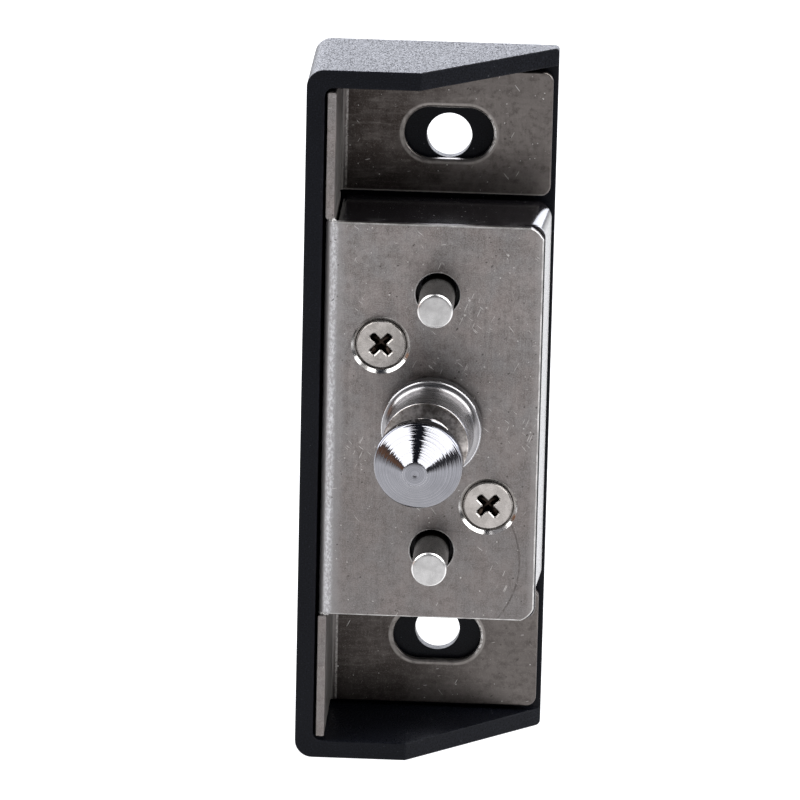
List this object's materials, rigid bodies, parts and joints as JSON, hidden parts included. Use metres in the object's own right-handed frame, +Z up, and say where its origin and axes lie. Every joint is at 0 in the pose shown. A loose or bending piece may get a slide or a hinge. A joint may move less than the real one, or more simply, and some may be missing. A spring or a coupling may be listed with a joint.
{
  "type": "electric door strike",
  "caption": "Tray with a bent steel bracket, a self-aligning cone-headed striker and sprung ejector pins, which an electric rim lock grips.",
  "frame": {"origin": "middle of the tray's back face, which screws flat to the door frame", "axes": "+Z up along the tray, +Y out of the back face into the door frame, +X towards the tray's open side; the striker and ejector pins point to -Y"},
  "size_m": [0.035, 0.0454, 0.102],
  "materials": {
    "powder_coat": "fine-textured blue-black powder coat",
    "satin_nickel": "satin nickel-plated sheet with fine scratches",
    "black_plastic": "satin moulded black",
    "zinc_plate": "pale matt plating",
    "turned_steel": "bright turned steel with fine lathe marks",
    "screw_nickel": "warm bright nickel",
    "spring_steel": "plain spring wire",
    "insert_brass": "machined brass"
  },
  "bodies": {
    "frame": {"housing_tray": "powder_coat", "mounting_bracket": "satin_nickel", "pin_block": "black_plastic", "block_rear_cover": "black_plastic", "cover_screw_1": "zinc_plate", "cover_screw_2": "zinc_plate", "cover_screw_3": "zinc_plate", "cover_screw_4": "zinc_plate", "plate_screw_upper": "screw_nickel", "plate_screw_lower": "screw_nickel", "threaded_insert_upper": "insert_brass", "threaded_insert_lower": "insert_brass", "ejector_spring_upper": "spring_steel", "ejector_spring_lower": "spring_steel"},
    "ejector_upper": {"ejector_pin_upper": "zinc_plate", "ejector_clip_upper": "spring_steel", "ejector_washer_upper": "zinc_plate"},
    "ejector_lower": {"ejector_pin_lower": "zinc_plate", "ejector_clip_lower": "spring_steel", "ejector_washer_lower": "zinc_plate"},
    "swivel_seat": {"striker_seat_ring": "zinc_plate"},
    "striker": {"striker_pin": "turned_steel", "striker_washer": "zinc_plate", "striker_lock_nut": "zinc_plate"}
  },
  "joints": [
    {"name": "ejector_upper_slide", "type": "slide", "parent": "frame", "child": "ejector_upper", "axis": [0, 1, 0], "range_m": [0, 0.0084], "stiffness_N_per_m": 500, "springref_m": -0.01, "deforming": ["ejector_spring_upper"]},
    {"name": "ejector_lower_slide", "type": "slide", "parent": "frame", "child": "ejector_lower", "axis": [0, 1, 0], "range_m": [0, 0.0084], "stiffness_N_per_m": 500, "springref_m": -0.01, "deforming": ["ejector_spring_lower"]},
    {"name": "striker_nod", "type": "hinge", "parent": "frame", "child": "swivel_seat", "pos_m": [0.0016, -0.0171, 0], "axis": [1, 0, 0], "range_deg": [-4, 4]},
    {"name": "striker_swing", "type": "hinge", "parent": "swivel_seat", "child": "striker", "pos_m": [0.0016, -0.0171, 0], "axis": [0, 0, 1], "range_deg": [-0.55, 7.45]}
  ]
}
